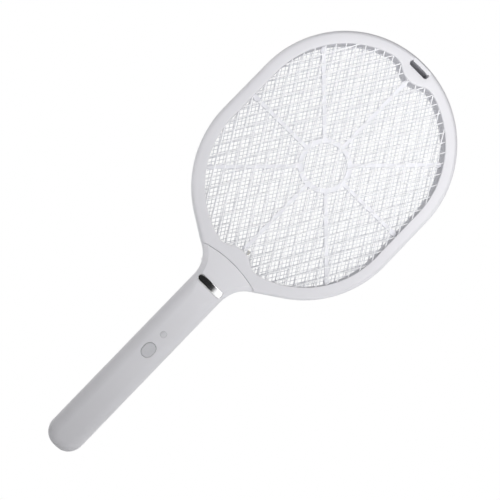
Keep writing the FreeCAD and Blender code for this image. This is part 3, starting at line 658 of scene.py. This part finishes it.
def socket_cutter():
    """Upright prism for the charging socket's mouth in the butt."""
    mesh = bmesh.new()
    outline = pill(SOCKET_W, SOCKET_H, 0)
    low = [mesh.verts.new((x, y, BUTT_Z - 3 * MM)) for x, y in outline]
    high = [mesh.verts.new((x, y, BUTT_Z + 8 * MM)) for x, y in outline]
    bridge(mesh, low, high)
    mesh.faces.new(low)
    mesh.faces.new(high[::-1])
    return finish_mesh(mesh, "socket_cutter", materials["black_plastic"], smooth=False)


def knob_slot():
    """Outline of the power knob's slot, with room for its travel."""
    gap = 0.25 * MM
    low = KNOB_Z - KNOB_H / 2 - gap
    high = KNOB_Z + KNOB_H / 2 + KNOB_TRAVEL + gap
    half = KNOB_W / 2 + gap
    return np.array([(-half, low), (half, low), (half, high), (-half, high)])


def handle_pieces():
    front = handle_half("front_handle_shell", -1)
    face = -HANDLE_HALF_D
    cut_away(front, [
        prism("badge_cut", pill(BADGE_W + 0.3 * MM, BADGE_H + 0.3 * MM, BADGE_Z),
              face - 5 * MM, face + 1.4 * MM),
        prism("lens_cut", circle(0, LENS_Z, LENS_R), face - 5 * MM, face + 8 * MM),
        prism("button_cut", pill(BUTTON_W + 0.5 * MM, BUTTON_H + 0.5 * MM, BUTTON_Z),
              face - 5 * MM, face + 8 * MM),
        socket_cutter()])
    rear = handle_half("rear_handle_shell", 1)
    # This cut fails at the screw hole left of the neck and takes most of the shell away
    cut_away(rear, [prism("slot_cut", knob_slot(), CUT_LOW, CUT_HIGH), socket_cutter()]
             + [prism("screw_cut", circle(x, z, SCREW_HEAD_R), CUT_LOW, CUT_HIGH)
                for x, z in HANDLE_SCREWS])
    for shell in (front, rear):
        shell.data.set_sharp_from_angle(angle=HANDLE_SHARP_ANGLE)
    declare(front, "root", "shell_plastic", "handle_front_shell")
    declare(rear, "root", "shell_plastic", "handle_rear_shell")


# ---------------------------------------------------------------- wires

def wire_runs(angle, pitch, offset, limit, step):
    """Straight lines at an angle from +Z, cut off along a closed outline."""
    along = np.array([math.sin(math.radians(angle)), math.cos(math.radians(angle))])
    across = np.array([along[1], -along[0]])
    reach = 2 * HEAD_R
    distances = np.arange(-reach, reach, step)
    runs = []
    for index in range(-int(reach / pitch), int(reach / pitch) + 1):
        base = np.array([0, SPIDER_Z]) + across * (index * pitch + offset)
        line = base + distances[:, None] * along
        kept = inside(limit, line)
        edges = np.flatnonzero(np.diff(np.concatenate([[0], kept.astype(int), [0]])))
        for start, end in zip(edges[::2], edges[1::2]):
            if end - start > 4:
                runs.append(line[start:end])
    return runs


def add_tube(mesh, path, radius, sides):
    """Closed tube along a 3D path that stays roughly in the XZ plane."""
    path = np.asarray(path)
    tangent = path[-1] - path[0]
    tangent /= np.linalg.norm(tangent)
    first = np.cross(tangent, (0, 1, 0))
    first /= np.linalg.norm(first)
    second = np.array([0.0, 1.0, 0.0])
    rings = []
    for place in path:
        ring = []
        for side in range(sides):
            turn = 2 * math.pi * side / sides
            ring.append(mesh.verts.new(place + radius * (math.cos(turn) * first
                                                         + math.sin(turn) * second)))
        rings.append(ring)
    for low, high in zip(rings, rings[1:]):
        for side in range(sides):
            after = (side + 1) % sides
            mesh.faces.new((low[side], low[after], high[after], high[side]))
    mesh.faces.new(rings[0][::-1])
    mesh.faces.new(rings[-1])


def crossed_wires(name, material, families, limit, pitch, offset, step, radius, sides):
    """Two layers of straight round wires; families gives each layer's angle and height."""
    mesh = bmesh.new()
    for turn, height in families:
        for run in wire_runs(turn, pitch, offset, limit, step):
            path = np.stack([run[:, 0], np.full(len(run), height), run[:, 1]], axis=1)
            add_tube(mesh, path[[0, -1]], radius, sides)
    return finish_mesh(mesh, name, materials[material])


def outer_grille(name, node, side):
    """Outer grille: round wires in long diamonds."""
    angle = math.degrees(math.atan2(DIAMOND_W, DIAMOND_H))
    pitch = DIAMOND_W * math.cos(math.radians(angle))
    low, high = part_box(node)
    middle_y = (low.y + high.y) / 2
    apart = side * GRILLE_LAYER
    families = ((angle, middle_y - apart), (-angle, middle_y + apart))
    return crossed_wires(name, "grille_wire", families, opening(1.6 * MM), pitch, 0,
                         pitch / 6, GRILLE_WIRE_R, 8)


def high_voltage_grid():
    """Inner grid: finer wires, closer together."""
    apart = GRID_WIRE_R * 0.9
    families = ((GRID_ANGLE, -apart), (-GRID_ANGLE, apart))
    return crossed_wires("grid_wires", "grid_wire", families, opening(-0.4 * MM), GRID_PITCH,
                         GRID_PITCH / 2, 0.5 * MM, GRID_WIRE_R, 6)


def wire_pieces():
    for name, node, side in (("front_grille_wires", "front_grille", -1),
                             ("rear_grille_wires", "rear_grille", 1)):
        declare(outer_grille(name, node, side), "root", "grille_wire", node)
    declare(high_voltage_grid(), "root", "grid_wire", "inner_grid")


# ---------------------------------------------------------------- badge, window and button

def domed_cap(name, outline_of, top_y, side, depth, edge_r, dome, slot, steps=6):
    """Cap with rounded edges whose top swells (or sinks, if dome is negative)."""
    mesh = bmesh.new()
    rows = [add_loop(mesh, outline_of(0), side * (top_y - depth)),
            add_loop(mesh, outline_of(0), side * (top_y - edge_r))]
    for turn in np.radians(np.linspace(0, 90, 6))[1:]:
        rows.append(add_loop(mesh, outline_of(edge_r * (1 - math.cos(turn))),
                             side * (top_y - edge_r * (1 - math.sin(turn)))))
    rim = outline_of(edge_r)
    centre = rim.mean(axis=0)
    for share in np.linspace(1, 0, steps + 1)[1:-1]:
        shrunk = centre + (rim - centre) * share
        rows.append(add_loop(mesh, shrunk, side * (top_y + dome * (1 - share ** 2))))
    for first, second in zip(rows, rows[1:]):
        bridge(mesh, first, second)
    middle = mesh.verts.new((centre[0], side * (top_y + dome), centre[1]))
    last = rows[-1]
    for index, vert in enumerate(last):
        mesh.faces.new((vert, last[(index + 1) % len(last)], middle))
    mesh.faces.new(rows[0])
    return finish_mesh(mesh, name, materials[slot])


def pill_outline(width, height, z):
    """Function that gives a pill's outline at an inset, always with as many points."""
    def shape(inset):
        outline = pill(width - 2 * inset, height - 2 * inset, z)
        return resampled(np.concatenate([outline, outline[:1]]), CAP_POINTS + 1)[:-1]
    return shape


def round_outline(x, z, radius):
    """Function that gives a circle's outline at an inset."""
    def shape(inset):
        turns = np.linspace(0, 2 * math.pi, CAP_POINTS // 2, endpoint=False)
        reach = radius - inset
        return np.stack([x + reach * np.cos(turns), z + reach * np.sin(turns)], axis=1)
    return shape


def badge():
    """Chrome bar, curved from side to side."""
    mesh = bmesh.new()
    outline_of = pill_outline(BADGE_W, BADGE_H, BADGE_Z)

    def bowed(outline, y):
        return [mesh.verts.new((x, y + BADGE_BOW * (x / (BADGE_W / 2)) ** 2, z))
                for x, z in outline]

    top_y = -HANDLE_HALF_D - BADGE_PROUD
    rows = [bowed(outline_of(0), top_y + 1.5 * MM), bowed(outline_of(0), top_y + BADGE_EDGE_R)]
    for turn in np.radians(np.linspace(0, 90, 8))[1:]:
        rows.append(bowed(outline_of(BADGE_EDGE_R * (1 - math.cos(turn))),
                          top_y + BADGE_EDGE_R * (1 - math.sin(turn))))
    for first, second in zip(rows, rows[1:]):
        bridge(mesh, first, second)
    rim = outline_of(BADGE_EDGE_R)
    for share in (0.75, 0.5, 0.25, 0):
        row = bowed(rim * (1, share) + (0, BADGE_Z * (1 - share)), top_y)
        bridge(mesh, rows[-1], row)
        rows.append(row)
    mesh.faces.new(rows[0])
    bmesh.ops.remove_doubles(mesh, verts=mesh.verts, dist=0.001 * MM)
    bar = finish_mesh(mesh, "badge_bar", materials["badge_chrome"])
    declare(bar, "root", "badge_chrome", "badge_plate")


def front_pieces():
    badge()
    window = domed_cap("status_window", round_outline(0, LENS_Z, LENS_R - 0.1 * MM),
                       top_y=HANDLE_HALF_D - 0.1 * MM, side=-1, depth=9.6 * MM,
                       edge_r=0.4 * MM, dome=0.2 * MM, slot="lens_plastic")
    declare(window, "root", "lens_plastic", "status_lens")
    cap = domed_cap("button_cap", pill_outline(BUTTON_W, BUTTON_H, BUTTON_Z),
                    top_y=HANDLE_HALF_D + BUTTON_PROUD, side=-1, depth=3.1 * MM,
                    edge_r=0.9 * MM, dome=-0.45 * MM, slot="button_rubber")
    declare(cap, "button", "button_rubber", "push_button")


ring_pieces()
handle_pieces()
front_pieces()
wire_pieces()


# ---------------------------------------------------------------- studio

CAMERA_DISTANCE = 1031.6 * MM
FOCAL_PIXELS = 1090.0
FRAME_PIXELS = 500.0
SENSOR = 36.0
TILT = math.radians(3.5)         # the head leans away from the camera
TURN = math.radians(4.3)         # the handle's left side comes forward
ROLL = math.radians(45.98)       # handle's direction above level in the picture
AIM_X = 4.35 * MM
AIM_Z = 157.5 * MM

FLOOR_R = 1.05
FLOOR_Z = -0.6

# Brightness of the room round the object, by direction
WORLD_BACK = 1.0
WORLD_PANEL = 0.02               # straight in front, where the badge's black side looks
WORLD_LEFT = 0.05
WORLD_STRIP = 1.2                # narrow, for the badge's white side
WORLD_RIGHT = 0.17
WORLD_LOW = 2.6
WORLD_TOP = 0.1

# The two square lamps
LAMP_TARGET = (0, 0, 0.30)
KEY_PLACE = (0.24, -0.62, 0.46)
KEY_SIZE = 0.40
KEY_POWER = 2.1
FILL_PLACE = (-0.30, -0.75, 0.50)
FILL_SIZE = 0.60
FILL_POWER = 0.7


def add_camera():
    """Camera in front, rolled so that the handle points down to the left."""
    forward = Vector((math.sin(TURN) * math.cos(TILT), math.cos(TURN) * math.cos(TILT),
                      math.sin(TILT)))
    right = Vector((math.cos(TURN), -math.sin(TURN), 0))
    up = right.cross(forward)
    image_right = math.sin(ROLL) * right + math.cos(ROLL) * up
    image_up = -math.cos(ROLL) * right + math.sin(ROLL) * up
    place = Vector((0, 0, AIM_Z)) + right * AIM_X - forward * CAMERA_DISTANCE
    camera = bpy.data.objects.new("camera", bpy.data.cameras.new("camera"))
    camera.data.sensor_width = SENSOR
    camera.data.lens = FOCAL_PIXELS / FRAME_PIXELS * SENSOR
    rotation = Matrix((image_right, image_up, -forward)).transposed()
    camera.matrix_world = Matrix.Translation(place) @ rotation.to_4x4()
    bpy.context.collection.objects.link(camera)
    bpy.context.scene.camera = camera


def add_softbox(name, place, size, power):
    """Square area lamp, aimed at the head, which the camera doesn't see."""
    light = bpy.data.lights.new(name, "AREA")
    light.shape = "RECTANGLE"
    light.size = size
    light.size_y = size
    light.energy = power
    obj = bpy.data.objects.new(name, light)
    obj.location = place
    obj.visible_camera = False
    aim = Vector(LAMP_TARGET) - Vector(place)
    obj.rotation_euler = aim.to_track_quat("-Z", "Y").to_euler()
    bpy.context.collection.objects.link(obj)


def add_world():
    """White room behind; dark in front, with a bright strip to one side and light from below."""
    world = bpy.data.worlds.new("studio")
    world.use_nodes = True
    tree = world.node_tree
    direction = tree.nodes.new("ShaderNodeSeparateXYZ")
    tree.links.new(tree.nodes.new("ShaderNodeTexCoord").outputs["Generated"],
                   direction.inputs[0])

    def step(axis, low, high):
        ramp = tree.nodes.new("ShaderNodeMapRange")
        ramp.interpolation_type = "SMOOTHSTEP"
        ramp.inputs["From Min"].default_value = low
        ramp.inputs["From Max"].default_value = high
        tree.links.new(direction.outputs[axis], ramp.inputs["Value"])
        return ramp.outputs["Result"]

    def mixed(factor, low, high):
        mix = tree.nodes.new("ShaderNodeMix")
        tree.links.new(factor, mix.inputs["Factor"])
        if isinstance(low, float):
            mix.inputs[2].default_value = low
        else:
            tree.links.new(low, mix.inputs[2])
        mix.inputs[3].default_value = high
        return mix.outputs[0]

    left = mixed(step("X", -0.4, -0.7), WORLD_PANEL, WORLD_LEFT)
    strip = mixed(step("X", 0.10, 0.15), left, WORLD_STRIP)
    right = mixed(step("X", 0.30, 0.45), strip, WORLD_RIGHT)
    front = mixed(step("Z", -0.25, -0.45), right, WORLD_LOW)
    room = mixed(step("Y", -0.25, 0.05), front, WORLD_BACK)
    whole = mixed(step("Z", 0.55, 0.75), room, WORLD_TOP)
    background = tree.nodes["Background"]
    tree.links.new(whole, background.inputs["Strength"])
    background.inputs["Color"].default_value = (1, 1, 1, 1)
    bpy.context.scene.world = world


def add_floor():
    mesh = bmesh.new()
    bmesh.ops.create_circle(mesh, cap_ends=True, segments=128, radius=FLOOR_R)
    bmesh.ops.translate(mesh, verts=mesh.verts, vec=(0, 0, FLOOR_Z))
    material, tree, shader = new_material("floor_paint")
    noise = add_node(tree, "ShaderNodeTexNoise", Scale=3.0, Detail=2.0)
    tree.links.new(object_position(tree), noise.inputs["Vector"])
    tint = colour_ramp(tree, noise.outputs["Fac"], (0.93, 0.93, 0.93), (0.96, 0.96, 0.96))
    tree.links.new(tint, shader.inputs["Base Color"])
    shader.inputs["Roughness"].default_value = 0.8
    finish_mesh(mesh, "floor", material, smooth=False)


def build_studio():
    bpy.context.scene.view_settings.view_transform = "Standard"
    add_camera()
    add_world()
    add_floor()
    add_softbox("key", KEY_PLACE, KEY_SIZE, KEY_POWER)
    add_softbox("fill", FILL_PLACE, FILL_SIZE, FILL_POWER)


build_studio()
